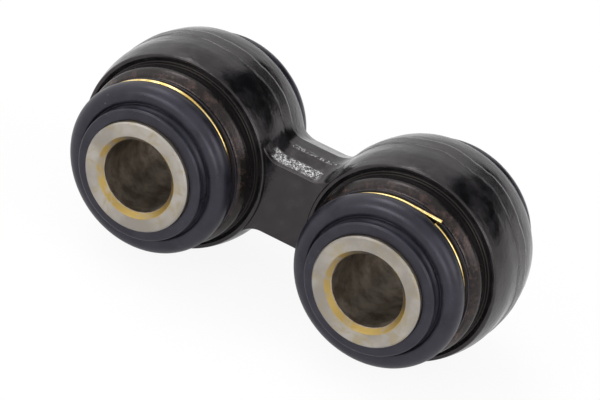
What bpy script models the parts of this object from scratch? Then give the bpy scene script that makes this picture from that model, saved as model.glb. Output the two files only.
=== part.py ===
# Short stabilizer link: one forging with two eyes, and a ball sleeve joint in each eye.
# Units are metres. X runs along the link, Y along the bolt bores, Z is up.
# The origin is midway between the two bores and midway along the sleeves.
# "Height" in a profile is the distance from the sleeve's middle, along the bore.

from math import asin, atan2, cos, degrees, pi, radians, sin, sqrt

import bmesh
import bpy
from mathutils import Vector

# Clearance between pieces that touch on the real part
gap = 0.0003

# From bolt bore to bolt bore
eye_distance = 0.0452

# Ball sleeve
sleeve_radius = 0.0100
bore_radius = 0.0066
ball_rise = 0.0036
sleeve_stand = 0.0010
sleeve_edge_chamfer = 0.0004
bore_chamfer = 0.00085
neck_fillet = 0.0008

# Bearing shell around the ball, in two halves
shell_wall = 0.0014
shell_half_width = 0.0070

# Eye of the forging: a crowned barrel with a flat land round its middle
shoulder_wall = 0.0029
front_step = 0.0041
back_step = 0.0006
eye_wall = 0.00223
crown_drop = 0.0011
crown_land = 0.0033
crown_power = 1.7
crown_shares = (0.3, 0.62)
back_edge_round = 0.0006
mouth_chamfer = 0.0007
seat_depth = 0.0028
seat_step = 0.00117

# Hub that carries a boot, on the closing ring in front and on the forging behind
tilt_room = 0.0025
hub_wall = 0.0007
hub_length = 0.0015

# Closing ring pressed into the front of each eye
bead_setback = 0.00017
bead_round = 0.0017
bead_depth = 0.0026
neck_setback = 0.00037
neck_rise = 0.0006

# Rubber boot
boot_lip_rise = 0.0010
boot_lip_width = 0.00034
boot_skirt_wall = 0.0007
boot_wall = 0.0010
bulge_round = 0.0020
bulge_offset = 0.0015
bulge_foot = 0.8
collar_wall = 0.0018
collar_length = 0.0023
collar_round = 0.0004

# Lip ring inside the boot's collar
lip_ring_wall = 0.00065
lip_ring_width = 0.0014
lip_ring_setback = 0.0006
lip_taper = 0.0004

# Wire ring round the boot's skirt
wire_radius = 0.00038
wire_overlap = radians(2.5)
wire_tail = radians(23)
wire_end_angle = {"left": radians(250), "right": radians(64)}

# Shank between the eyes, a forged section with draft to both sides of the parting plane
shank_half_height = 0.0064
shank_edge_rise = 0.0007
shank_edge_depth = 0.0006
shank_draft_rise = 0.00125
shank_land = 0.0015
shank_recess = 0.0006
shank_back_recess = 0.0011
shank_back_drop = 0.0005
shank_fillet = 0.0042
shank_root = 0.0015
shank_sink = 0.00015

# Facets
eye_steps = 40
sleeve_steps = 32
ring_steps = 28
boot_steps = 24
wire_steps = 28
fillet_steps = 5

# Radii that follow, from the sleeve outwards
ball_radius = sleeve_radius + ball_rise
shell_radius = ball_radius + gap + shell_wall
housing_bore = shell_radius + gap
seat_radius = housing_bore + seat_step
barrel_radius = seat_radius + eye_wall
closing_ring_radius = seat_radius - gap
bead_radius = closing_ring_radius - bead_setback
face_radius = bead_radius - bead_round
hub_bore = sleeve_radius + tilt_room
hub_radius = hub_bore + hub_wall
skirt_bore = hub_radius + gap
groove_radius = skirt_bore + boot_skirt_wall
boot_lip_radius = groove_radius + boot_lip_rise
wire_path_radius = groove_radius + gap + wire_radius
collar_bore = sleeve_radius + gap
collar_radius = collar_bore + collar_wall
lip_ring_radius = collar_bore + lip_ring_wall

# Heights that follow, from the ball's middle outwards
shoulder = shell_half_width + gap
face = shoulder + shoulder_wall
barrel_front = face - front_step
barrel_back = back_step - face
barrel_middle = (barrel_front + barrel_back) / 2
barrel_half = (barrel_front - barrel_back) / 2
seat_end = barrel_front - seat_depth
hub_end = face + hub_length
lip_start = face + gap
groove_start = lip_start + boot_lip_width
wire_height = groove_start + gap / 2 + wire_radius
groove_end = wire_height + wire_radius + gap / 2
bulge_height = groove_end + bulge_foot * bulge_round
collar_root = bulge_height + bulge_round
collar_end = collar_root + collar_length
lip_ring_end = collar_end - lip_ring_setback
lip_ring_start = lip_ring_end - lip_ring_width
sleeve_half = collar_end + sleeve_stand

eye_places = (("left", -eye_distance / 2), ("right", eye_distance / 2))

# Turns a profile's height towards the front, -Y, or the back, +Y
FRONT = (radians(90), 0, 0)
BACK = (radians(-90), 0, 0)


def clear_scene():
    for obj in list(bpy.data.objects):
        bpy.data.objects.remove(obj, do_unlink=True)


def new_collection(name):
    collection = bpy.data.collections.new(name)
    bpy.context.scene.collection.children.link(collection)
    return collection


def material(name, colour, roughness, metallic):
    mat = bpy.data.materials.new(name)
    mat.use_nodes = True
    shader = mat.node_tree.nodes["Principled BSDF"]
    shader.inputs["Base Color"].default_value = (*colour, 1)
    shader.inputs["Roughness"].default_value = roughness
    shader.inputs["Metallic"].default_value = metallic
    return mat


def arc(centre, radius, start, end, count):
    """Points on an arc in a profile, angles in degrees from the outward direction."""
    points = []
    for k in range(count):
        a = radians(start + (end - start) * k / (count - 1))
        points.append((centre[0] + radius * cos(a), centre[1] + radius * sin(a)))
    return points


def smooth(mesh):
    mesh.shade_smooth()
    mesh.set_sharp_from_angle(angle=radians(35))


def profile_mesh(name, points, closed):
    bm = bmesh.new()
    verts = [bm.verts.new((r, 0, h)) for r, h in points]
    for a, b in zip(verts, verts[1:]):
        bm.edges.new((a, b))
    if closed:
        bm.edges.new((verts[-1], verts[0]))
    mesh = bpy.data.meshes.new(name)
    bm.to_mesh(mesh)
    bm.free()
    return mesh


def turned(name, points, steps, closed=True):
    """Mesh of a profile turned a full circle about its local Z by a Screw modifier."""
    profile = profile_mesh(name + "_profile", points, closed)
    guide = bpy.data.objects.new(profile.name, profile)
    bpy.context.scene.collection.objects.link(guide)
    screw = guide.modifiers.new("Turn", "SCREW")
    screw.axis = "Z"
    screw.angle = 2 * pi
    screw.screw_offset = 0
    screw.steps = steps
    screw.render_steps = steps
    screw.use_merge_vertices = True
    screw.merge_threshold = 0.00001
    graph = bpy.context.evaluated_depsgraph_get()
    mesh = bpy.data.meshes.new_from_object(guide.evaluated_get(graph))
    mesh.name = name
    bpy.data.objects.remove(guide, do_unlink=True)
    bpy.data.meshes.remove(profile)
    smooth(mesh)
    return mesh


def place(name, data, collection, mat, location, rotation, parent=None):
    obj = bpy.data.objects.new(name, data)
    collection.objects.link(obj)
    obj.location = location
    obj.rotation_euler = rotation
    obj.parent = parent
    if mat is not None and not data.materials:
        data.materials.append(mat)
    return obj


def helper(name, mesh, collection, location, rotation):
    obj = place(name, mesh, collection, None, location, rotation)
    obj.hide_render = True
    obj.display_type = "WIRE"
    return obj


def boolean(obj, other, operation):
    cut = obj.modifiers.new(other.name, "BOOLEAN")
    cut.operation = operation
    cut.solver = "EXACT"
    cut.object = other


def crown(height):
    """Radius of the barrel at a height: its land in the middle and a round fall to both rims."""
    away = max(0, abs(height - barrel_middle) - crown_land)
    return barrel_radius - crown_drop * (away / (barrel_half - crown_land)) ** crown_power


def barrel_profile():
    """Outside of one eye, closed on the axis, from the front face down to the hub behind."""
    fall = barrel_half - crown_land
    heights = [barrel_front]
    heights += [barrel_middle + crown_land + share * fall for share in reversed(crown_shares)]
    heights += [barrel_middle + crown_land, barrel_middle - crown_land]
    heights += [barrel_middle - crown_land - share * fall for share in crown_shares]
    rim = crown(barrel_back)
    corner = (rim - back_edge_round, barrel_back + back_edge_round)
    points = [(0, barrel_front)]
    points += [(crown(height), height) for height in heights]
    points += arc(corner, back_edge_round, 0, -90, 3)
    points += [(hub_radius, barrel_back), (hub_radius, -hub_end), (0, -hub_end)]
    return points


def bore_profile():
    """What is cut out of one eye: seat for the closing ring, housing bore, shoulder and hub bore."""
    clear = eye_wall
    mouth_radius = seat_radius + mouth_chamfer
    return [
        (0, barrel_front + clear),
        (mouth_radius, barrel_front + clear),
        (mouth_radius, barrel_front),
        (seat_radius, barrel_front - mouth_chamfer),
        (seat_radius, seat_end),
        (housing_bore, seat_end),
        (housing_bore, -shoulder),
        (hub_bore, -shoulder),
        (hub_bore, -hub_end - clear),
        (0, -hub_end - clear),
    ]


def shank_outline(half_height, eye_radius):
    """Upper right quarter of the shank's outline: waist, fillet to the eye, and a root inside it."""
    half_way = eye_distance / 2
    room = (half_way**2 - eye_radius**2 + half_height**2) / (2 * (eye_radius - half_height))
    fillet = min(shank_fillet, room)
    reach = sqrt((eye_radius + fillet) ** 2 - (half_height + fillet) ** 2)
    centre = Vector((half_way - reach, half_height + fillet))
    to_eye = Vector((half_way, 0)) - centre
    end = degrees(atan2(to_eye.y, to_eye.x))
    points = arc(centre, fillet, -90, end, fillet_steps + 1)
    inside = Vector(points[-1]) + shank_root * to_eye.normalized()
    points.append(tuple(inside))
    points.append((inside.x + shank_root, inside.y / 2))
    return points


def shank_mesh():
    """A loft of six like outlines: front face, draft, land round the parting plane, draft, back face."""
    front = barrel_front - shank_recess
    back = barrel_back + shank_back_recess
    edge_height = shank_half_height + shank_edge_rise
    levels = [
        (front, shank_half_height),
        (front - shank_edge_depth, edge_height),
        (barrel_middle + shank_land, edge_height + shank_draft_rise),
        (barrel_middle - shank_land, edge_height + shank_draft_rise),
        (back + shank_edge_depth, edge_height - shank_back_drop),
        (back, shank_half_height - shank_back_drop),
    ]
    bm = bmesh.new()
    rings = []
    for height, half_height in levels:
        quarter = shank_outline(half_height, crown(height) - shank_sink)
        right = quarter + [(x, -z) for x, z in reversed(quarter)]
        outline = right + [(-x, -z) for x, z in right]
        rings.append([bm.verts.new((x, -height, z)) for x, z in outline])
    for upper, lower in zip(rings, rings[1:]):
        for k in range(len(upper)):
            n = (k + 1) % len(upper)
            bm.faces.new((upper[k], upper[n], lower[n], lower[k]))
    bm.faces.new(rings[0])
    bm.faces.new(rings[-1])
    bmesh.ops.recalc_face_normals(bm, faces=bm.faces)
    mesh = bpy.data.meshes.new("link_body")
    bm.to_mesh(mesh)
    bm.free()
    smooth(mesh)
    return mesh


def sleeve_profile():
    """Ball sleeve: a tube with a ball round its middle, its outer side first."""
    neck = sqrt(ball_radius**2 - sleeve_radius**2)
    start = degrees(asin(neck / ball_radius))
    upper = [
        (bore_radius + bore_chamfer, sleeve_half),
        (sleeve_radius - sleeve_edge_chamfer, sleeve_half),
        (sleeve_radius, sleeve_half - sleeve_edge_chamfer),
        (sleeve_radius, neck + neck_fillet),
    ]
    ball = arc((0, 0), ball_radius, start - 3, 3 - start, 7)
    lower = [(r, -h) for r, h in reversed(upper)]
    bore_end = sleeve_half - bore_chamfer
    return upper + ball + lower + [(bore_radius, -bore_end), (bore_radius, bore_end)]


def shell_profile():
    """Half of the bearing shell: a cylinder outside, part of a sphere inside."""
    seat = ball_radius + gap
    low = degrees(asin(gap / 2 / seat))
    high = degrees(asin(shell_half_width / seat))
    return [(shell_radius, shell_half_width), (shell_radius, gap / 2)] + arc((0, 0), seat, low, high, 4)


def closing_ring_profile():
    """Closing ring: hub for the boot, flat face, rounded bead, and a skirt inside the eye."""
    skirt_end = seat_end + gap
    points = [(hub_bore, hub_end), (hub_radius, hub_end), (hub_radius, face), (face_radius, face)]
    bead_height = face - bead_depth
    for a in (60, 30, 0):
        r = face_radius + bead_round * cos(radians(a))
        points.append((r, bead_height + bead_depth * sin(radians(a))))
    points += [
        (closing_ring_radius - neck_setback, barrel_front + neck_rise),
        (closing_ring_radius, barrel_front - gap / 2),
        (closing_ring_radius, skirt_end),
        (housing_bore, skirt_end),
        (housing_bore, shoulder),
        (hub_bore, shoulder),
    ]
    return points


def boot_profile():
    """Boot: lip and wire groove on the hub, round bulge, and collar on the sleeve."""
    centre = (collar_radius + bulge_offset, bulge_height)
    foot = -degrees(asin(bulge_foot))
    ring_groove = lip_ring_radius + gap
    ring_low = lip_ring_start - gap
    ring_high = lip_ring_end + gap
    points = [
        (collar_bore, collar_end),
        (collar_radius - collar_round, collar_end),
        (collar_radius, collar_end - collar_round),
        (collar_radius, collar_root),
    ]
    points += arc(centre, bulge_round, 118, foot, 6)
    points += [
        (groove_radius, groove_end),
        (groove_radius, groove_start),
        (boot_lip_radius, groove_start),
        (boot_lip_radius, lip_start),
        (skirt_bore, lip_start),
        (skirt_bore, groove_end),
    ]
    points += arc(centre, bulge_round - boot_wall, foot, 110, 3)
    points += [
        (collar_bore, ring_low - lip_taper),
        (collar_bore, ring_low),
        (ring_groove, ring_low),
        (ring_groove, ring_high),
        (collar_bore, ring_high),
    ]
    return points


def lip_ring_profile():
    outer = [(lip_ring_radius, lip_ring_end), (lip_ring_radius, lip_ring_start)]
    return [(collar_bore, lip_ring_end)] + outer + [(collar_bore, lip_ring_start)]


def wire_curve(name, end_angle):
    """One turn of spring wire. Its tail runs straight off the circle and passes over the first end."""
    curve = bpy.data.curves.new(name, "CURVE")
    curve.dimensions = "3D"
    curve.bevel_depth = wire_radius
    curve.bevel_resolution = 1
    curve.use_fill_caps = True
    spline = curve.splines.new("POLY")
    spline.points.add(wire_steps + 1)
    first = end_angle + 2 * pi + wire_overlap
    last = end_angle + wire_tail
    for k in range(wire_steps + 1):
        angle = first + (last - first) * k / wire_steps
        spline.points[k].co = (wire_path_radius * cos(angle), wire_path_radius * sin(angle), wire_height, 1)
    tip = wire_path_radius / cos(wire_tail)
    spline.points[-1].co = (tip * cos(end_angle), tip * sin(end_angle), wire_height, 1)
    return curve


def make_link(parts, cutters, mat):
    link = place("link_body", shank_mesh(), parts, mat, (0, 0, 0), (0, 0, 0))
    barrel = turned("barrel_blank", barrel_profile(), eye_steps, closed=False)
    bore = turned("eye_bore", bore_profile(), eye_steps, closed=False)
    for mesh, operation in ((barrel, "UNION"), (bore, "DIFFERENCE")):
        for side, x in eye_places:
            boolean(link, helper(side + "_" + mesh.name, mesh, cutters, (x, 0, 0), FRONT), operation)


def make_eye(side, x, parts, mats, meshes):
    """The ball sleeve joint of one eye, hung on an empty at the middle of its ball."""
    pivot = bpy.data.objects.new(side + "_ball_centre", None)
    parts.objects.link(pivot)
    pivot.location = (x, 0, 0)

    def fit(name, data, mat, rotation):
        place(side + "_" + name, data, parts, mats[mat], (0, 0, 0), rotation, pivot)

    fit("ball_sleeve", meshes["ball_sleeve"], "sleeve", FRONT)
    fit("closing_ring", meshes["closing_ring"], "ring", FRONT)
    for end, rotation in (("front_", FRONT), ("back_", BACK)):
        fit(end + "bearing_shell", meshes["bearing_shell"], "shell", rotation)
        fit(end + "boot", meshes["boot"], "rubber", rotation)
        fit(end + "lip_ring", meshes["lip_ring"], "steel", rotation)
        wire = wire_curve(side + "_" + end + "wire_ring", wire_end_angle[side])
        fit(end + "wire_ring", wire, "wire", rotation)


def make():
    clear_scene()
    parts = new_collection("stabilizer_link")
    cutters = new_collection("cutters")
    mats = {
        "forging": material("black_coated_forging", (0.016, 0.016, 0.017), 0.25, 0.0),
        "ring": material("black_coated_ring", (0.014, 0.013, 0.013), 0.28, 0.0),
        "sleeve": material("machined_steel", (0.42, 0.39, 0.34), 0.38, 1.0),
        "shell": material("white_acetal", (0.78, 0.78, 0.74), 0.45, 0.0),
        "rubber": material("blue_black_rubber", (0.028, 0.030, 0.040), 0.55, 0.0),
        "steel": material("plain_steel", (0.5, 0.5, 0.5), 0.4, 1.0),
        "wire": material("yellow_zinc_wire", (0.75, 0.55, 0.2), 0.3, 1.0),
    }
    turned_pieces = (
        ("ball_sleeve", sleeve_profile(), sleeve_steps),
        ("closing_ring", closing_ring_profile(), sleeve_steps),
        ("bearing_shell", shell_profile(), ring_steps),
        ("boot", boot_profile(), boot_steps),
        ("lip_ring", lip_ring_profile(), boot_steps),
    )
    meshes = {name: turned(name, points, steps) for name, points, steps in turned_pieces}
    make_link(parts, cutters, mats["forging"])
    for side, x in eye_places:
        make_eye(side, x, parts, mats, meshes)


make()
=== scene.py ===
from math import asin, atan2, ceil, cos, degrees, pi, radians, sin, sqrt

import bmesh
import bpy
from mathutils import Matrix, Vector, noise


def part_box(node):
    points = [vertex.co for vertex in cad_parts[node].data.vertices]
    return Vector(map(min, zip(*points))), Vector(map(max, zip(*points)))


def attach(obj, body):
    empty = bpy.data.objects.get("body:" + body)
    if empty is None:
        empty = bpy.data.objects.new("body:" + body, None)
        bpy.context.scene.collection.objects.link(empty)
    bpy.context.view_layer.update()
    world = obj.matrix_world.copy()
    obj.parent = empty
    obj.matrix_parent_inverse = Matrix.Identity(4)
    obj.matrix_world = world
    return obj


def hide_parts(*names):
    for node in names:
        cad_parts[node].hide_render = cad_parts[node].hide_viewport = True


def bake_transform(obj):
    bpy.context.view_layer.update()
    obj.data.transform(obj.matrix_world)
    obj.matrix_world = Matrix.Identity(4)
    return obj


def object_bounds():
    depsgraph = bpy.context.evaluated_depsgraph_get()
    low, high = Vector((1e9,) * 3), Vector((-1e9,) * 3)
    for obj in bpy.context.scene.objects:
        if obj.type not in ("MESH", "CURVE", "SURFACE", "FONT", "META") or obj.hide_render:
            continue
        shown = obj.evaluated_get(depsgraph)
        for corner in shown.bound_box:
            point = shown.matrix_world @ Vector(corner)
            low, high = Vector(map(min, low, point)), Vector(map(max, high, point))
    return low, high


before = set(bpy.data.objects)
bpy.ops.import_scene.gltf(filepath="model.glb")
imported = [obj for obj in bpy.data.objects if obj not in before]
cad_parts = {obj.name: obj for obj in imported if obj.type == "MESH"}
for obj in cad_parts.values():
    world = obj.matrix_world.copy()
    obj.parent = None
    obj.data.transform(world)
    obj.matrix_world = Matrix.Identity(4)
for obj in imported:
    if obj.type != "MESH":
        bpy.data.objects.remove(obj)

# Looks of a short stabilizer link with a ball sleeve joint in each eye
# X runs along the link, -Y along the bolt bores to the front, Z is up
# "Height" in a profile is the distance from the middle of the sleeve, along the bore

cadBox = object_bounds()
mm = 0.001
mergeDistance = 0.0005 * mm
sharpAngle = radians(50)

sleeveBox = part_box("right_ball_sleeve")
eyeX = (sleeveBox[0].x + sleeveBox[1].x) / 2
sleeveHalf = sleeveBox[1].y
eyes = {"left": -eyeX, "right": eyeX}
toFront = Matrix.Rotation(radians(90), 4, "X")  # a profile's height runs to -Y
toBack = Matrix.Rotation(radians(-90), 4, "X")
ends = {"front": toFront, "back": toBack}


# Camera

cameraView = {
    "target": (0.22 * mm, 0, -0.91 * mm),
    "azimuth": 20.34,
    "elevation": 29.81,
    "roll": 15.8,
    "distance": 500.8 * mm,
    "lens": 174.0,
    "sensor": 36,
    "clip": (10 * mm, 20),
}


def makeCamera():
    azimuth = radians(cameraView["azimuth"])
    elevation = radians(cameraView["elevation"])
    back = Vector((sin(azimuth) * cos(elevation), -cos(azimuth) * cos(elevation), sin(elevation)))
    level = (-back).to_track_quat("-Z", "Y").to_matrix()
    data = bpy.data.cameras.new("camera")
    data.lens = cameraView["lens"]
    data.sensor_width = cameraView["sensor"]
    data.clip_start, data.clip_end = cameraView["clip"]
    camera = bpy.data.objects.new("camera", data)
    bpy.context.scene.collection.objects.link(camera)
    turn = level @ Matrix.Rotation(radians(cameraView["roll"]), 3, "Z")
    place = Vector(cameraView["target"]) + back * cameraView["distance"]
    camera.matrix_world = Matrix.Translation(place) @ turn.to_4x4()
    bpy.context.scene.camera = camera


makeCamera()
print("camera placed")


# Shader maths: a link wraps a socket, and an expression on links adds its Math nodes

class Link:
    def __init__(self, graph, socket):
        self.graph = graph
        self.socket = socket

    def maths(self, operation, first, second=None):
        given = {0: first} if second is None else {0: first, 1: second}
        return self.graph.node("ShaderNodeMath", {"operation": operation}, given)

    def __add__(self, other):
        return self.maths("ADD", self, other)

    def __radd__(self, other):
        return self.maths("ADD", other, self)

    def __sub__(self, other):
        return self.maths("SUBTRACT", self, other)

    def __rsub__(self, other):
        return self.maths("SUBTRACT", other, self)

    def __mul__(self, other):
        return self.maths("MULTIPLY", self, other)

    def __rmul__(self, other):
        return self.maths("MULTIPLY", other, self)

    def __truediv__(self, other):
        return self.maths("DIVIDE", self, other)

    def __pow__(self, other):
        return self.maths("POWER", self, other)

    def __abs__(self):
        return self.maths("ABSOLUTE", self)

    def between(self, low, high, start=0.0, end=1.0):  # smooth step from start to end
        given = {"Value": self, "From Min": low, "From Max": high, "To Min": start, "To Max": end}
        return self.graph.node("ShaderNodeMapRange", {"interpolation_type": "SMOOTHSTEP"}, given)

    def largest(self, other):
        return self.maths("MAXIMUM", self, other)


class Graph:
    def __init__(self, tree):
        self.tree = tree

    def node(self, kind, settings=None, given=None, output=0):
        made = self.tree.nodes.new(kind)
        for name, value in (settings or {}).items():
            setattr(made, name, value)
        for name, value in (given or {}).items():
            if isinstance(value, Link):
                self.tree.links.new(value.socket, made.inputs[name])
            else:
                made.inputs[name].default_value = value
        return Link(self, made.outputs[output])

    def parts(self, vector):
        split = self.node("ShaderNodeSeparateXYZ", {}, {0: vector})
        outputs = split.socket.node.outputs
        return [Link(self, outputs[k]) for k in range(3)]

    def mix(self, share, first, second):
        given = {0: share, 6: first, 7: second}
        return self.node("ShaderNodeMix", {"data_type": "RGBA"}, given, output=2)


class Finish(Graph):
    def __init__(self, name, **constants):
        self.material = bpy.data.materials.new(name)
        self.material.use_nodes = True
        super().__init__(self.material.node_tree)
        self.shader = self.tree.nodes["Principled BSDF"]
        for socket, value in constants.items():
            self.shader.inputs[socket.replace("_", " ")].default_value = value
        self.place = self.node("ShaderNodeTexCoord", output="Object")

    def noise(self, size, detail=3.0, roughness=0.5, where=None, lean=0.0):
        given = {"Vector": where or self.place, "Scale": 1 / size, "Detail": detail}
        given.update({"Roughness": roughness, "Distortion": lean})
        return self.node("ShaderNodeTexNoise", {}, given)

    def cells(self, size):
        return self.node("ShaderNodeTexVoronoi", {}, {"Vector": self.place, "Scale": 1 / size})

    def mark(self, name):  # a share kept in the piece's own mesh
        return self.node("ShaderNodeAttribute", {"attribute_name": name}, output="Fac")

    def stretched(self, scale):
        return self.node("ShaderNodeVectorMath", {"operation": "MULTIPLY"}, {0: self.place, 1: scale})

    def aroundEye(self):  # distance from the bore's axis, angle round it, and the place along Y and Z
        x, y, z = self.parts(self.place)
        across = abs(x) - eyeX
        radius = (across * across + z * z) ** 0.5
        angle = radius.maths("ARCTAN2", z, across)
        return radius, angle, y, z

    def feed(self, **links):
        for socket, link in links.items():
            self.tree.links.new(link.socket, self.shader.inputs[socket.replace("_", " ")])

    def bump(self, height):  # height in mm
        self.feed(Normal=self.node("ShaderNodeBump", {}, {"Height": height, "Distance": mm}))


def grey(value):
    return (value, value, value, 1)


# Mesh helpers

def arcPoints(centre, radius, start, end, count):  # angles in degrees from the outward direction
    turns = [radians(start + (end - start) * k / (count - 1)) for k in range(count)]
    return [(centre[0] + radius * cos(a), centre[1] + radius * sin(a)) for a in turns]


rounding = {
    "sideShare": 0.48,  # share of a side that one rounding may take
    "support": 0.12 * mm,  # distance of a support point from its arc
    "supportShare": 0.3,  # the same, at most, as a share of the rest of the side
}


def rounded(corners, segments=6):
    # corners are (radius, height, rounding)
    # each rounding becomes an arc with a support point on both sides
    points = []
    count = len(corners)
    for k in range(count):
        here = Vector(corners[k][:2])
        size = corners[k][2] if len(corners[k]) > 2 else 0
        if size == 0:
            points.append(tuple(here))
            continue
        before = Vector(corners[k - 1][:2]) - here
        after = Vector(corners[(k + 1) % count][:2]) - here
        toBefore = before.normalized()
        toAfter = after.normalized()
        half = before.angle(after) / 2
        slope = sin(half) / cos(half)
        most = rounding["sideShare"] * min(before.length, after.length)
        reach = min(size / max(1e-6, abs(slope)), most)
        radius = reach * slope
        first = here + toBefore * reach
        last = here + toAfter * reach
        middle = here + (toBefore + toAfter).normalized() * (radius / sin(half))
        lead = min(rounding["support"], rounding["supportShare"] * (before.length - reach))
        tail = min(rounding["support"], rounding["supportShare"] * (after.length - reach))
        points.append(tuple(first + toBefore * lead))
        for j in range(segments + 1):
            spoke = (first - middle).slerp(last - middle, j / segments)
            points.append(tuple(middle + radius * spoke))
        points.append(tuple(last + toAfter * tail))
    return points


def meshObject(name, bm, material):
    mesh = bpy.data.meshes.new(name)
    bm.to_mesh(mesh)
    bm.free()
    mesh.shade_smooth()
    mesh.materials.append(material)
    obj = bpy.data.objects.new(name, mesh)
    bpy.context.scene.collection.objects.link(obj)
    return obj


def turnedPiece(name, points, steps, x, facing, material):
    bm = bmesh.new()
    verts = [bm.verts.new((r, 0, h)) for r, h in points]
    edges = [bm.edges.new((a, b)) for a, b in zip(verts, verts[1:] + verts[:1])]
    bmesh.ops.spin(
        bm, geom=verts + edges, cent=(0, 0, 0), axis=(0, 0, 1), dvec=(0, 0, 0),
        angle=2 * pi, steps=steps, use_merge=True, use_duplicate=False,
    )
    bmesh.ops.remove_doubles(bm, verts=bm.verts, dist=mergeDistance)
    bmesh.ops.recalc_face_normals(bm, faces=bm.faces)
    bmesh.ops.transform(bm, matrix=Matrix.Translation((x, 0, 0)) @ facing, verts=bm.verts)
    return meshObject(name, bm, material)


def smoothStep(value, low, high):
    t = min(1, max(0, (value - low) / (high - low)))
    return t * t * (3 - 2 * t)


def within(value, low, lowEnd, high, highEnd):  # rises from low to lowEnd and falls from high to highEnd
    return smoothStep(value, low, lowEnd) * (1 - smoothStep(value, high, highEnd))


# Forging: two crowned eyes and the shank between them, in one skin

forging = {
    "front": -6.1 * mm,
    "back": 9.6 * mm,
    "crown": 18.84 * mm,
    "crownDrop": 0.94 * mm,
    "crownLand": 2.8 * mm,
    "crownPower": 1.7,
    "shankFront": -5.5 * mm,
    "shankBack": 8.5 * mm,
    "faceHeight": 6.8 * mm,
    "backHeight": 6.3 * mm,
    "landHeight": 8.35 * mm,
    "landHalf": 1.6 * mm,
    "landEdge": 0.2 * mm,
    "faceRound": 0.32 * mm,
    "landRound": 0.7 * mm,
    "fillet": 4.2 * mm,
    "levelStep": 0.2 * mm,
    "waistPoints": 20,
    "filletPoints": 28,
    "arcPoints": 84,
    "innerPoints": 26,
    "mergeDistance": 0.004 * mm,
    "bore": {
        "mouth": 17.3 * mm,
        "seat": 16.8 * mm,
        "seatDrop": 0.3 * mm,
        "seatEnd": -3.3 * mm,
        "housing": 15.6 * mm,
        "shoulder": 7.3 * mm,
        "hubBore": 12.5 * mm,
        "hub": 13.2 * mm,
        "hubEnd": 11.7 * mm,
        "rimRound": 0.34 * mm,
        "mouthRound": 0.24 * mm,
        "seatRound": 0.1 * mm,
        "hubRound": 0.15 * mm,
        "backRound": 0.55 * mm,
    },
    "flash": {  # the trimmed band round each crown, on the parting plane
        "rise": 0.13 * mm,
        "edge": 0.22 * mm,
        "front": 1.7 * mm,
        "back": 4.5 * mm,
        "wave": 0.9 * mm,
        "waveSize": 6 * mm,
        "backWave": 0.7,
        "ragged": 0.25,
        "raggedSize": 1.3 * mm,
        "raggedLayer": 3,
        "from": (5 * mm, 8 * mm),
        "paleEdgeFrom": (6 * mm, 8 * mm),
        "paleEdgeHalf": 0.3 * mm,
        "paleEdgeSize": 2 * mm,
        "paleEdgeMean": 0.55,
        "paleEdgeChange": 0.45,
        "backPaleEdge": 0.7,
    },
    "strip": {  # the rough band on the upper draft face of the shank and the flecks by its land, both with painted white glints
        "rise": 0.10 * mm,
        "lift": 0.2,
        "grain": 0.35 * mm,
        "least": 5 * mm,
        "along": (-5.8 * mm, -4.6 * mm, 3.4 * mm, 4.4 * mm),
        "across": (-5.0 * mm, -4.5 * mm, -3.0 * mm, -2.5 * mm),
        "fleckAlong": (-4.5 * mm, -3 * mm, 5 * mm, 6 * mm),
        "fleckHalf": 0.5 * mm,
        "fleckSize": 0.5 * mm,
        "fleckLayer": 7,
        "fleckRange": (-0.15, 0.10),
    },
    "uneven": {
        "rise": 0.035 * mm,
        "size": 5 * mm,
        "drop": 0.4,
        "across": (-5.4 * mm, -4.6 * mm, 7.6 * mm, 8.4 * mm),
    },
    "look": {
        "tint": (1, 0.91, 0.94, 1),
        "dark": (0.004, 0.004, 0.0045, 1),
        "pale": (0.018, 0.0165, 0.018, 1),
        "onFlash": (0.020, 0.019, 0.020, 1),
        "speck": grey(0.12),
        "paleFlashEdge": grey(0.22),
        "paintedGlint": grey(0.75),
        "peelSize": 0.9 * mm,
        "grainSize": 0.18 * mm,
        "scaleSize": 3.0 * mm,
        "streakSize": 1.6 * mm,
        "streakStretch": (0.4, 1, 0.7),
        "bitSize": 0.34 * mm,
        "speckSize": 1.5 * mm,
        "gloss": (0.10, 0.22),
        "dull": {"streaks": 0.10, "flash": 0.12, "strip": 0.1},
        "bumps": {"peel": 0.012, "grain": 0.004, "strip": 0.14, "streaks": 0.09},
    },
}
bore = forging["bore"]
flash = forging["flash"]
strip = forging["strip"]
uneven = forging["uneven"]


def crownRadius(y):
    middle = (forging["front"] + forging["back"]) / 2
    half = (forging["back"] - forging["front"]) / 2
    away = max(0, abs(y - middle) - forging["crownLand"]) / (half - forging["crownLand"])
    return forging["crown"] - forging["crownDrop"] * away ** forging["crownPower"]


def shankSection():  # (y, half height) from the front face over the parting plane to the back face
    middle = (forging["front"] + forging["back"]) / 2
    corners = [
        (forging["shankFront"], 0),
        (forging["shankFront"], forging["faceHeight"], forging["faceRound"]),
        (middle - forging["landHalf"], forging["landHeight"], forging["landRound"]),
        (middle + forging["landHalf"], forging["landHeight"], forging["landRound"]),
        (forging["shankBack"], forging["backHeight"], forging["faceRound"]),
        (forging["shankBack"], 0),
    ]
    bends = [p for p in rounded(corners) if p[1] > 0]
    levels = [bends[0]]
    for here in bends[1:]:
        last = levels[-1]
        pieces = max(1, ceil(abs(here[0] - last[0]) / forging["levelStep"]))
        for k in range(1, pieces + 1):
            share = k / pieces
            levels.append((last[0] + (here[0] - last[0]) * share, last[1] + (here[1] - last[1]) * share))
    return levels


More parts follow.
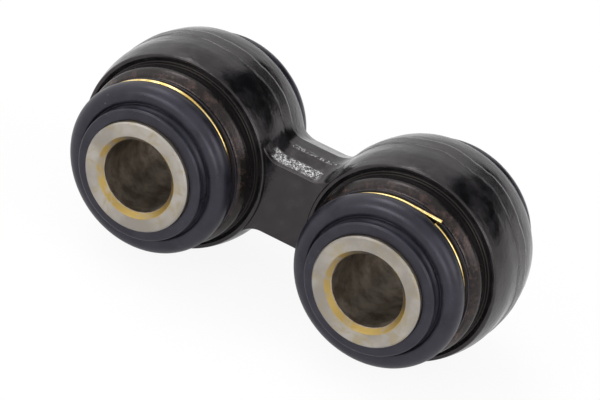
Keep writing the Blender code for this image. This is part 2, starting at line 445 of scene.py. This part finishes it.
def quarterOutline(y, halfHeight):
    # place and outward direction of each point, from the waist to the far end
    radius = crownRadius(y)
    fillet = forging["fillet"]
    reach = sqrt((radius + fillet) ** 2 - (halfHeight + fillet) ** 2)
    centre = Vector((eyeX - reach, 0, halfHeight + fillet))
    beta = atan2(halfHeight + fillet, reach)
    outline = []
    for k in range(forging["waistPoints"]):
        place = Vector((centre.x * k / forging["waistPoints"], y, halfHeight))
        outline.append((place, Vector((0, 0, 1))))
    for k in range(forging["filletPoints"]):
        turn = -pi / 2 + (pi / 2 - beta) * k / forging["filletPoints"]
        out = Vector((cos(turn), 0, sin(turn)))
        outline.append((Vector((centre.x, y, centre.z)) + fillet * out, -out))
    for k in range(forging["arcPoints"] + 1):
        turn = (pi - beta) * (1 - k / forging["arcPoints"])
        out = Vector((cos(turn), 0, sin(turn)))
        outline.append((Vector((eyeX, y, 0)) + radius * out, out))
    return outline


def flip(v, across, up):
    return Vector((v.x * across, v.y, v.z * up))


def wholeOutline(y, halfHeight):  # starts at the waist on top and runs over the right eye
    quarter = quarterOutline(y, halfHeight)
    right = quarter + [(flip(p, 1, -1), flip(n, 1, -1)) for p, n in reversed(quarter[:-1])]
    left = [(flip(p, -1, 1), flip(n, -1, 1)) for p, n in reversed(right[1:-1])]
    return right + left


def flashEdges(p):  # where the trimmed flash begins and ends, a little wavy
    wave = noise.noise(Vector((p.x, 0, p.z)) / flash["waveSize"]) * flash["wave"]
    ragged = noise.noise(Vector((p.x, flash["raggedLayer"], p.z)) / flash["raggedSize"])
    ragged *= flash["ragged"] * flash["wave"]
    return flash["front"] + wave + ragged, flash["back"] + flash["backWave"] * wave - ragged


def flashShare(p):
    front, back = flashEdges(p)
    edge = flash["edge"]
    onEye = smoothStep(abs(p.x), *flash["from"])
    return onEye * within(p.y, front - edge, front + edge, back - edge, back + edge)


def paleEdgeShare(p):  # edges of the flash, paler in patches
    front, back = flashEdges(p)
    atFront = 1 - abs(p.y - front) / flash["paleEdgeHalf"]
    atBack = flash["backPaleEdge"] * (1 - abs(p.y - back) / flash["paleEdgeHalf"])
    patchy = flash["paleEdgeMean"] + flash["paleEdgeChange"] * noise.noise(p / flash["paleEdgeSize"])
    return max(atFront, atBack, 0) * smoothStep(abs(p.x), *flash["paleEdgeFrom"]) * patchy


def stripShare(p):
    if p.z < strip["least"]:
        return 0
    band = within(p.x, *strip["along"]) * within(p.y, *strip["across"])
    patchy = noise.noise(Vector((p.x, p.y, strip["fleckLayer"])) / strip["fleckSize"])
    flecks = within(p.x, *strip["fleckAlong"]) * smoothStep(patchy, *strip["fleckRange"])
    return max(band, flecks * max(1 - abs(p.y - forging["landEdge"]) / strip["fleckHalf"], 0))


def skinRise(p):
    rise = flash["rise"] * flashShare(p)
    away = within(p.y, *uneven["across"])
    rise += uneven["rise"] * away * (noise.noise(p / uneven["size"]) - uneven["drop"])
    rise += strip["rise"] * stripShare(p) * (noise.noise(p / strip["grain"]) + strip["lift"])
    return min(rise, cadBox[1].z - forging["crown"])


def markSkin(mesh):
    for name, share in (("flash", flashShare), ("paleEdge", paleEdgeShare), ("strip", stripShare)):
        marks = mesh.attributes.new(name, "FLOAT", "POINT")
        marks.data.foreach_set("value", [share(v.co) for v in mesh.vertices])


def nextTo(loop):
    return zip(loop, loop[1:] + loop[:1])


def carryOn(bm, loop, places):  # extrudes a closed loop of vertices to new places
    edges = [bm.edges.get((a, b)) for a, b in nextTo(loop)]
    made = bmesh.ops.extrude_edge_only(bm, edges=edges)["geom"]
    fresh = {g for g in made if isinstance(g, bmesh.types.BMVert)}
    following = []
    for v, place in zip(loop, places):
        twin = next(e.other_vert(v) for e in v.link_edges if e.other_vert(v) in fresh)
        twin.co = place
        following.append(twin)
    return following


def joinLoop(bm, loop):
    for a, b in nextTo(loop):
        if bm.edges.get((a, b)) is None:
            bm.edges.new((a, b))


def stretch(loop, first, last):  # the part of a closed loop from one vertex to another
    start = loop.index(first)
    steps = (loop.index(last) - start) % len(loop)
    return [loop[(start + k) % len(loop)] for k in range(steps + 1)]


def shankFace(bm, loop, y):  # closes the skin between the eyes and returns the two eyes' circles
    first = forging["waistPoints"] + forging["filletPoints"]
    size = 2 * forging["arcPoints"] + 1
    circles = []
    for start, x in ((first, eyeX), (first + len(loop) // 2, -eyeX)):
        outer = [loop[(start + k) % len(loop)] for k in range(size)]
        radius = (outer[0].co - Vector((x, y, 0))).length
        begin = atan2(outer[-1].co.z, outer[-1].co.x - x)
        end = atan2(outer[0].co.z, outer[0].co.x - x)
        sweep = -((begin - end) % (2 * pi))
        inner = []
        for k in range(1, forging["innerPoints"]):
            turn = begin + sweep * k / forging["innerPoints"]
            inner.append(bm.verts.new((x + radius * cos(turn), y, radius * sin(turn))))
        joinLoop(bm, outer + inner)
        circles.append((outer, inner))
    (rightOuter, rightInner), (leftOuter, leftInner) = circles
    border = stretch(loop, leftOuter[-1], rightOuter[0]) + rightInner[::-1]
    border += stretch(loop, rightOuter[-1], leftOuter[0]) + leftInner[::-1]
    edges = [bm.edges.get((a, b)) for a, b in nextTo(border)]
    bmesh.ops.contextual_create(bm, geom=[e for e in edges if e])
    return [outer + inner for outer, inner in circles]


def eyeRings():  # the way from the front rim through the bore to the back face, as (radius, y)
    front = forging["front"]
    back = forging["back"]
    rim = crownRadius(front)
    corners = [
        (crownRadius(forging["shankFront"]), forging["shankFront"]),
        (rim, front, bore["rimRound"]),
        (bore["mouth"], front, bore["mouthRound"]),
        (bore["seat"], front + bore["seatDrop"], bore["seatRound"]),
        (bore["seat"], bore["seatEnd"]),
        (bore["housing"], bore["seatEnd"]),
        (bore["housing"], bore["shoulder"]),
        (bore["hubBore"], bore["shoulder"]),
        (bore["hubBore"], bore["hubEnd"], bore["hubRound"]),
        (bore["hub"], bore["hubEnd"], bore["hubRound"]),
        (bore["hub"], back),
        (rim, back, bore["backRound"]),
        (crownRadius(forging["shankBack"]), forging["shankBack"]),
    ]
    return rounded(corners, segments=4)[1:]


def makeForging(material):
    bm = bmesh.new()
    places = []
    for y, halfHeight in shankSection():
        places.append([p + n * skinRise(p) for p, n in wholeOutline(y, halfHeight)])
    first = [bm.verts.new(p) for p in places[0]]
    joinLoop(bm, first)
    loop = first
    for following in places[1:]:
        loop = carryOn(bm, loop, following)
    circles = shankFace(bm, first, forging["shankFront"])
    shankFace(bm, loop, forging["shankBack"])
    for circle, x in zip(circles, (eyeX, -eyeX)):
        turns = [atan2(v.co.z, v.co.x - x) for v in circle]
        for radius, y in eyeRings():
            ring = [(x + radius * cos(a), y, radius * sin(a)) for a in turns]
            circle = carryOn(bm, circle, ring)
    bmesh.ops.remove_doubles(bm, verts=bm.verts, dist=forging["mergeDistance"])
    bmesh.ops.recalc_face_normals(bm, faces=bm.faces)
    piece = meshObject("linkForging", bm, material)
    markSkin(piece.data)
    piece.data.set_sharp_from_angle(angle=sharpAngle)
    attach(piece, "link")
    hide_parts("link_body")


def blackCoat():
    look = forging["look"]
    dull = look["dull"]
    bumps = look["bumps"]
    coat = Finish("blackCoat", Specular_Tint=look["tint"])
    band = coat.mark("flash")
    paleFlashEdge = coat.mark("paleEdge")
    rough = coat.mark("strip")
    peel = coat.noise(look["peelSize"], detail=2)
    grain = coat.noise(look["grainSize"], detail=2)
    scale = coat.noise(look["scaleSize"], detail=5, roughness=0.62)
    stretched = coat.stretched(look["streakStretch"])
    streaks = coat.noise(look["streakSize"], detail=5, roughness=0.6, where=stretched)
    bits = coat.cells(look["bitSize"])
    # painted highlight: white glints painted into the base colour of the rough band and its flecks
    paintedGlints = rough * bits.between(0.2, 0.7) * grain.between(0.38, 0.56) * peel.between(0.34, 0.5)
    specks = coat.cells(look["speckSize"]).between(0.03, 0.07, 1, 0) * scale.between(0.42, 0.55)
    base = coat.mix(scale.between(0.35, 0.75), look["dark"], look["pale"])
    base = coat.mix(band * 0.6, base, look["onFlash"])
    base = coat.mix(specks * 0.7, base, look["speck"])
    # lighter grey along the flash edges
    base = coat.mix(paleFlashEdge * 0.5, base, look["paleFlashEdge"])
    # the painted glints go in last, over the coat's colour
    coat.feed(Base_Color=coat.mix(paintedGlints, base, look["paintedGlint"]))
    gloss = scale.between(0.3, 0.8, *look["gloss"]) + streaks.between(0.45, 0.75) * dull["streaks"]
    coat.feed(Roughness=gloss + band * dull["flash"] + rough * dull["strip"])
    height = peel * bumps["peel"] + grain * bumps["grain"] * (1 + 3 * band)
    coat.bump(height + rough * bits * bumps["strip"] + streaks * bumps["streaks"])
    return coat.material


makeForging(blackCoat())
print("forging made")


# Closing rings, pressed into the front of the eyes

closingRing = {
    "steps": 200,
    "hubBore": 12.5 * mm,
    "hub": 13.2 * mm,
    "hubEnd": 11.7 * mm,
    "hubRound": 0.1 * mm,
    "face": 15.2 * mm,
    "faceHeight": 10.2 * mm,
    "faceRound": 1.3 * mm,
    "bead": 16.42 * mm,
    "beadHeight": 8.5 * mm,
    "beadRound": 1.5 * mm,
    "neck": 16.08 * mm,
    "neckHeight": 6.6 * mm,
    "neckRound": 0.3 * mm,
    "crease": 16.12 * mm,
    "creaseRound": 0.12 * mm,
    "foot": 16.6 * mm,
    "footHeight": 6.0 * mm,
    "footRound": 0.1 * mm,
    "outer": 16.78 * mm,
    "outerHeight": 5.78 * mm,
    "outerRound": 0.05 * mm,
    "skirtEnd": 3.6 * mm,
    "skirtBore": 15.6 * mm,
    "shoulder": 7.3 * mm,
    "look": {
        "shine": 0.34,
        "tint": (1, 0.85, 0.85, 1),
        "dark": (0.007, 0.0065, 0.0065, 1),
        "brown": (0.06, 0.037, 0.030, 1),
        "patchSize": 1.7 * mm,
        "fineSize": 0.25 * mm,
        "gloss": (0.1, 0.3),
        "bumps": {"patches": 0.06, "fine": 0.006},
    },
}


def makeClosingRing(side, x, material):
    c = closingRing
    corners = [
        (c["hubBore"], c["hubEnd"], c["hubRound"]),
        (c["hub"], c["hubEnd"], c["hubRound"]),
        (c["hub"], c["faceHeight"]),
        (c["face"], c["faceHeight"], c["faceRound"]),
        (c["bead"], c["beadHeight"], c["beadRound"]),
        (c["neck"], c["neckHeight"], c["neckRound"]),
        (c["crease"], c["footHeight"], c["creaseRound"]),
        (c["foot"], c["footHeight"], c["footRound"]),
        (c["outer"], c["outerHeight"], c["outerRound"]),
        (c["outer"], c["skirtEnd"]),
        (c["skirtBore"], c["skirtEnd"]),
        (c["skirtBore"], c["shoulder"]),
        (c["hubBore"], c["shoulder"]),
    ]
    piece = turnedPiece(side + "ClosingRing", rounded(corners), c["steps"], x, toFront, material)
    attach(piece, "link")
    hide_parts(side + "_closing_ring")


def ringCoat():
    look = closingRing["look"]
    coat = Finish("ringCoat", Specular_IOR_Level=look["shine"], Specular_Tint=look["tint"])
    y = coat.parts(coat.place)[1]
    patches = coat.noise(look["patchSize"], detail=6, roughness=0.7)
    fine = coat.noise(look["fineSize"], detail=3)
    slope = (-1 * y).between(7.2 * mm, 9.6 * mm)
    brown = (patches + 0.2 * slope).between(0.66, 0.9) * (0.4 + fine)
    coat.feed(Base_Color=coat.mix(brown, look["dark"], look["brown"]))
    coat.feed(Roughness=patches.between(0.35, 0.8, *look["gloss"]) + fine * 0.06)
    coat.bump(patches * look["bumps"]["patches"] + fine * look["bumps"]["fine"])
    return coat.material


ringMaterial = ringCoat()
for side, x in eyes.items():
    makeClosingRing(side, x, ringMaterial)
print("closing rings made")


# Ball sleeves

ballSleeve = {
    "steps": 200,
    "radius": 10.0 * mm,
    "bore": 6.6 * mm,
    "ball": 13.6 * mm,
    "ballPoints": 48,
    "ballTrim": 3,  # degrees that the ball's arc stays off the neck
    "neckRoom": 0.8 * mm,
    "edge": 0.25 * mm,
    "mouth": 0.9 * mm,
    "round": 0.06 * mm,
    "look": {
        "dark": (0.29, 0.265, 0.235, 1),
        "pale": (0.42, 0.39, 0.355, 1),
        "oil": (0.34, 0.28, 0.17, 1),
        "pits": (0.18, 0.15, 0.11, 1),
        "gold": (0.40, 0.28, 0.09, 1),
        "boreDark": (0.22, 0.175, 0.135, 1),
        "borePale": (0.50, 0.44, 0.37, 1),
        # painted shade inside the bore, darker towards the top
        "paintedBoreShade": (0.06, 0.045, 0.035, 1),
        "stainSize": 2.6 * mm,
        "cloudSize": 6 * mm,
        "fineSize": 0.3 * mm,
        "rustSize": 3.2 * mm,
        "markSize": 4 * mm,
        "turning": (40, 0.002, 40),  # squeezes the noise into rings round the bore
        "chamfer": (7.4 * mm, 7.8 * mm),
        "inside": (6.62 * mm, 6.8 * mm),
        "goldDrop": 60 * mm,  # more gold below
        "shadeFrom": (0.5 * mm, 5.5 * mm),
        "bumps": {"marks": 0.008, "fine": 0.006, "stain": 0.01},
    },
}


def makeSleeve(side, x, material):
    s = ballSleeve
    half = sleeveHalf
    neck = sqrt(s["ball"] ** 2 - s["radius"] ** 2)
    climb = degrees(asin(neck / s["ball"])) - s["ballTrim"]
    upper = [
        (s["bore"] + s["mouth"], half, s["round"]),
        (s["radius"] - s["edge"], half, s["round"]),
        (s["radius"], half - s["edge"], s["round"]),
        (s["radius"], neck + s["neckRoom"]),
    ]
    ball = arcPoints((0, 0), s["ball"], climb, -climb, s["ballPoints"])
    lower = [(c[0], -c[1], *c[2:]) for c in reversed(upper)]
    mouth = half - s["mouth"]
    corners = upper + ball + lower + [(s["bore"], -mouth, s["round"]), (s["bore"], mouth, s["round"])]
    piece = turnedPiece(side + "BallSleeve", rounded(corners, 3), s["steps"], x, toFront, material)
    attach(piece, side + "_sleeve")
    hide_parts(side + "_ball_sleeve")


def sleeveSteel():
    look = ballSleeve["look"]
    bumps = look["bumps"]
    steel = Finish("sleeveSteel", Metallic=1.0)
    radius, angle, y, z = steel.aroundEye()
    stain = steel.noise(look["stainSize"], detail=5, roughness=0.6, lean=0.6)
    cloud = steel.noise(look["cloudSize"], detail=3)
    fine = steel.noise(look["fineSize"], detail=4, roughness=0.7)
    outward, around, along = look["turning"]
    turning = steel.node("ShaderNodeCombineXYZ", {}, {0: radius * outward, 1: angle * around, 2: y * along})
    marks = steel.noise(look["markSize"], detail=4, where=turning)
    base = steel.mix(cloud.between(0.35, 0.7), look["dark"], look["pale"])
    base = steel.mix((stain + 0.25 * cloud).between(0.58, 0.85) * 0.8, base, look["oil"])
    base = steel.mix(fine.between(0.62, 0.8) * 0.5, base, look["pits"])
    golden = radius.between(*look["chamfer"], 1, 0) * (stain - z / look["goldDrop"]).between(0.3, 0.6)
    base = steel.mix(golden, base, look["gold"])
    rust = steel.noise(look["rustSize"], detail=6, roughness=0.65)
    hole = steel.mix(rust.between(0.32, 0.68), look["boreDark"], look["borePale"])
    # painted shade: the bore is darker towards its top
    hole = steel.mix(z.between(*look["shadeFrom"]) * 0.85, hole, look["paintedBoreShade"])
    inside = radius.between(*look["inside"], 1, 0)
    steel.feed(Base_Color=steel.mix(inside, base, hole))
    steel.feed(Roughness=stain.between(0.3, 0.8, 0.3, 0.45) + fine * 0.1 + inside * 0.1)
    steel.bump(marks * bumps["marks"] + fine * bumps["fine"] + stain * bumps["stain"])
    return steel.material


steelMaterial = sleeveSteel()
for side, x in eyes.items():
    makeSleeve(side, x, steelMaterial)
print("sleeves made")


# Rubber boots

boot = {
    "steps": 200,
    "sleeveFit": 10.04 * mm,
    "fitRound": 0.1 * mm,
    "collar": 12.0 * mm,
    "collarEnd": 17.8 * mm,
    "collarRound": 0.4 * mm,
    "crease": 15.3 * mm,
    "creaseSides": (12.05 * mm, 12.4 * mm),
    "bulge": (13.3 * mm, 13.75 * mm),
    "bulgeRound": 2.3 * mm,
    "bulgeArc": (110, -50, 30),
    "innerArc": (-53, 130, 14),
    "groove": 13.95 * mm,
    "grooveEnd": 11.9 * mm,
    "grooveStart": 10.84 * mm,
    "grooveRound": 0.08 * mm,
    "lip": 15.2 * mm,
    "lipStart": 10.5 * mm,
    "lipRound": 0.12 * mm,
    "skirt": 13.5 * mm,
    "wall": 1.2 * mm,
    "neck": 15.85 * mm,
    "neckEdge": 0.45 * mm,
    "neckRamp": (1.3 * mm, 1.0 * mm),
    "bendEnd": 15.8 * mm,  # a height along the boot
    "look": {
        "shine": 0.42,
        "tint": (0.92, 0.87, 1, 1),
        "dark": (0.008, 0.008, 0.012, 1),
        "pale": (0.016, 0.016, 0.023, 1),
        "dust": grey(0.2),
        "cloudSize": 3.5 * mm,
        "fineSize": 0.14 * mm,
        "dustSize": 0.4 * mm,
        "gloss": (0.24, 0.38),
        "bumps": {"fine": 0.006, "cloud": 0.03},
    },
}


def makeBoot(side, x, end, material):
    b = boot
    creaseIn, creaseOut = b["creaseSides"]
    rampAcross, rampDown = b["neckRamp"]
    corners = [
        (b["sleeveFit"], b["collarEnd"], b["fitRound"]),
        (b["collar"], b["collarEnd"], b["collarRound"]),
        (creaseIn, b["crease"]),
        (creaseOut, b["crease"]),
    ]
    corners += arcPoints(b["bulge"], b["bulgeRound"], *b["bulgeArc"])
    corners += [
        (b["groove"], b["grooveEnd"], b["grooveRound"]),
        (b["groove"], b["grooveStart"], b["grooveRound"]),
        (b["lip"], b["grooveStart"], b["lipRound"]),
        (b["lip"], b["lipStart"], b["lipRound"]),
        (b["skirt"], b["lipStart"]),
        (b["skirt"], b["grooveEnd"]),
    ]
    corners += arcPoints(b["bulge"], b["bulgeRound"] - b["wall"], *b["innerArc"])
    corners += [
        (b["sleeveFit"] + rampAcross, b["neck"] - rampDown),
        (b["sleeveFit"] + b["neckEdge"], b["neck"]),
        (b["sleeveFit"], b["neck"] + b["neckEdge"]),
    ]
    name = side + end.capitalize() + "Boot"
    piece = turnedPiece(name, rounded(corners, 4), b["steps"], x, ends[end], material)
    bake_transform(piece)
    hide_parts(side + "_" + end + "_boot")


def bootRubber():
    look = boot["look"]
    rubber = Finish("bootRubber", Specular_IOR_Level=look["shine"], Specular_Tint=look["tint"])
    cloud = rubber.noise(look["cloudSize"], detail=4, roughness=0.6)
    fine = rubber.noise(look["fineSize"], detail=2)
    dust = rubber.noise(look["dustSize"], detail=2).between(0.70, 0.78)
    base = rubber.mix(cloud.between(0.3, 0.7), look["dark"], look["pale"])
    rubber.feed(Base_Color=rubber.mix(dust * 0.35, base, look["dust"]))
    rubber.feed(Roughness=cloud.between(0.3, 0.7, *look["gloss"]) + fine * 0.06)
    rubber.bump(fine * look["bumps"]["fine"] + cloud * look["bumps"]["cloud"])
    return rubber.material


rubberMaterial = bootRubber()
for side, x in eyes.items():
    for end in ends:
        makeBoot(side, x, end, rubberMaterial)
print("boots made")


# Wire rings in the grooves of the boots

wireRing = {
    "radius": 0.38 * mm,
    "roundness": 4,
    "path": 14.42 * mm,
    "height": 11.37 * mm,
    "overlap": radians(2.5),
    "tail": radians(23.3),
    "end": {"left": radians(250), "right": radians(64)},
    "lean": {"left": (-0.42 * mm, 0.26 * mm), "right": (-0.12 * mm, 0.1 * mm)},
    "points": 180,
    "look": {
        "dark": (0.74, 0.50, 0.15, 1),
        "pale": (0.92, 0.74, 0.36, 1),
        "shadeSize": 1.2 * mm,
        "fineSize": 0.15 * mm,
    },
}


def makeWire(side, x, end, material):
    w = wireRing
    curve = bpy.data.curves.new(side + end.capitalize() + "WireRing", "CURVE")
    curve.dimensions = "3D"
    curve.bevel_depth = w["radius"]
    curve.bevel_resolution = w["roundness"]
    curve.use_fill_caps = True
    spline = curve.splines.new("POLY")
    spline.points.add(w["points"])
    first = w["end"][side] + 2 * pi + w["overlap"]
    last = w["end"][side] + w["tail"]
    for k in range(w["points"]):
        turn = first + (last - first) * k / (w["points"] - 1)
        spline.points[k].co = (w["path"] * cos(turn), w["path"] * sin(turn), w["height"], 1)
    tip = w["path"] / cos(w["tail"])
    spline.points[-1].co = (tip * cos(w["end"][side]), tip * sin(w["end"][side]), w["height"], 1)
    guide = bpy.data.objects.new(curve.name + "Guide", curve)
    bpy.context.scene.collection.objects.link(guide)
    graph = bpy.context.evaluated_depsgraph_get()
    mesh = bpy.data.meshes.new_from_object(guide.evaluated_get(graph))
    bpy.data.objects.remove(guide, do_unlink=True)
    bm = bmesh.new()
    bm.from_mesh(mesh)
    bpy.data.meshes.remove(mesh)
    bmesh.ops.remove_doubles(bm, verts=bm.verts, dist=mergeDistance)
    bmesh.ops.recalc_face_normals(bm, faces=bm.faces)
    across, up = w["lean"][side]
    bmesh.ops.transform(bm, matrix=Matrix.Translation((x + across, 0, up)) @ ends[end], verts=bm.verts)
    piece = meshObject(curve.name, bm, material)
    piece.data.set_sharp_from_angle(angle=sharpAngle)
    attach(piece, "link")
    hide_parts(side + "_" + end + "_wire_ring")


def yellowZinc():
    look = wireRing["look"]
    zinc = Finish("yellowZinc", Metallic=1.0)
    shade = zinc.noise(look["shadeSize"], detail=3)
    fine = zinc.noise(look["fineSize"], detail=2)
    zinc.feed(Base_Color=zinc.mix(shade.between(0.3, 0.7), look["dark"], look["pale"]))
    zinc.feed(Roughness=0.2 + fine * 0.15)
    zinc.bump(fine * 0.004)
    return zinc.material


wireMaterial = yellowZinc()
for side, x in eyes.items():
    for end in ends:
        makeWire(side, x, end, wireMaterial)
print("wires made")


# Pieces sealed inside keep their solids and get their finish

innerLook = {
    "bearing_shell": {
        "name": "acetal",
        "metallic": 0.0,
        "colours": ((0.72, 0.72, 0.67, 1), (0.82, 0.82, 0.78, 1)),
        "cloudSize": 2 * mm,
        "roughness": (0.4, 0.1),
    },
    "lip_ring": {
        "name": "pressedSteel",
        "metallic": 1.0,
        "colours": ((0.45, 0.45, 0.46, 1), (0.6, 0.6, 0.6, 1)),
        "cloudSize": 1 * mm,
        "roughness": (0.3, 0.15),
    },
}


def innerFinish(look):
    finish = Finish(look["name"], Metallic=look["metallic"])
    cloud = finish.noise(look["cloudSize"])
    least, change = look["roughness"]
    finish.feed(Base_Color=finish.mix(cloud, *look["colours"]))
    finish.feed(Roughness=least + cloud * change)
    return finish.material


innerMaterials = {kind: innerFinish(look) for kind, look in innerLook.items()}
for side in eyes:
    for end in ends:
        for kind, material in innerMaterials.items():
            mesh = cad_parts[side + "_" + end + "_" + kind].data
            mesh.materials.clear()
            mesh.materials.append(material)
print("inner pieces finished")


# Floor and surroundings; a panel is brighter or darker than the rest, with its edges in degrees

studio = {
    "floor": -19.0 * mm,
    "floorSize": 4.0,
    "floorShade": grey(0.85),
    "shadow": 0.09,
    "mirrored": 0.5,  # share of plain white that gloss sees in the floor
    "level": 0.9,
    "panels": {
        "left": {"turn": (-150, -50), "climb": (14, 100), "soft": 18, "gain": 0.5},
        "hotSpot": {"turn": (-96, -46), "climb": (50, 72), "soft": 7, "gain": 4.5},
        "right": {"turn": (76, 108), "climb": (16, 46), "soft": 10, "gain": 3.0},
        "front": {"turn": (-168, -146), "climb": (14, 30), "soft": 6, "gain": 7.0},
        "low": {"turn": (144, 166), "climb": (2, 16), "soft": 5, "gain": 6.0},
    },
    "darkSide": {"turn": (2, 58), "climb": (15, 68), "soft": 5, "gain": -1.0},
}


def makeFloor():
    bm = bmesh.new()
    bmesh.ops.create_grid(bm, x_segments=1, y_segments=1, size=studio["floorSize"])
    bmesh.ops.translate(bm, verts=bm.verts, vec=(0, 0, studio["floor"]))
    finish = Finish("paleFloor")
    finish.tree.nodes.remove(finish.shader)
    ray = finish.node("ShaderNodeLightPath", output="Is Camera Ray")
    glossy = Link(finish, ray.socket.node.outputs["Is Glossy Ray"])
    dull = finish.node("ShaderNodeBsdfDiffuse", {}, {"Color": studio["floorShade"]})
    glow = finish.node("ShaderNodeEmission", {}, {"Color": grey(1.0), "Strength": 1.0})
    share = (ray * (1 - studio["shadow"])).largest(glossy * studio["mirrored"])
    shine = finish.node("ShaderNodeMixShader", {}, {0: share, 1: dull, 2: glow})
    finish.tree.links.new(shine.socket, finish.tree.nodes["Material Output"].inputs["Surface"])
    meshObject("floor", bm, finish.material)


def panel(turn, climb, box):  # its gain inside, 0 outside, with a soft edge
    soft = box["soft"]
    low, high = box["turn"]
    inside = turn.between(low - soft, low + soft) * turn.between(high - soft, high + soft, 1, 0)
    low, high = box["climb"]
    inside = inside * climb.between(low - soft, low + soft) * climb.between(high - soft, high + soft, 1, 0)
    return inside * box["gain"]


def makeWorld():  # turn is 0 behind the link and 90 to its right, climb is the height over the horizon
    world = bpy.data.worlds.new("studio")
    world.use_nodes = True
    bpy.context.scene.world = world
    sky = Graph(world.node_tree)
    x, y, z = sky.parts(sky.node("ShaderNodeTexCoord", output="Generated"))
    turn = x.maths("ARCTAN2", x, y) * (180 / pi)
    climb = z.maths("ARCSINE", z) * (180 / pi)
    light = 1.0
    for box in studio["panels"].values():
        light = panel(turn, climb, box) + light
    light = light * (1 + panel(turn, climb, studio["darkSide"]))
    light = light * studio["level"]
    around = sky.node("ShaderNodeBackground", {}, {"Color": grey(1.0), "Strength": light})
    white = sky.node("ShaderNodeBackground", {}, {"Color": grey(1.0), "Strength": 1.0})
    ray = sky.node("ShaderNodeLightPath", output="Is Camera Ray")
    shown = sky.node("ShaderNodeMixShader", {}, {0: ray, 1: around, 2: white})
    sky.tree.links.new(shown.socket, sky.tree.nodes["World Output"].inputs["Surface"])


makeFloor()
makeWorld()
bpy.context.scene.view_settings.view_transform = "Standard"
print("studio lit")
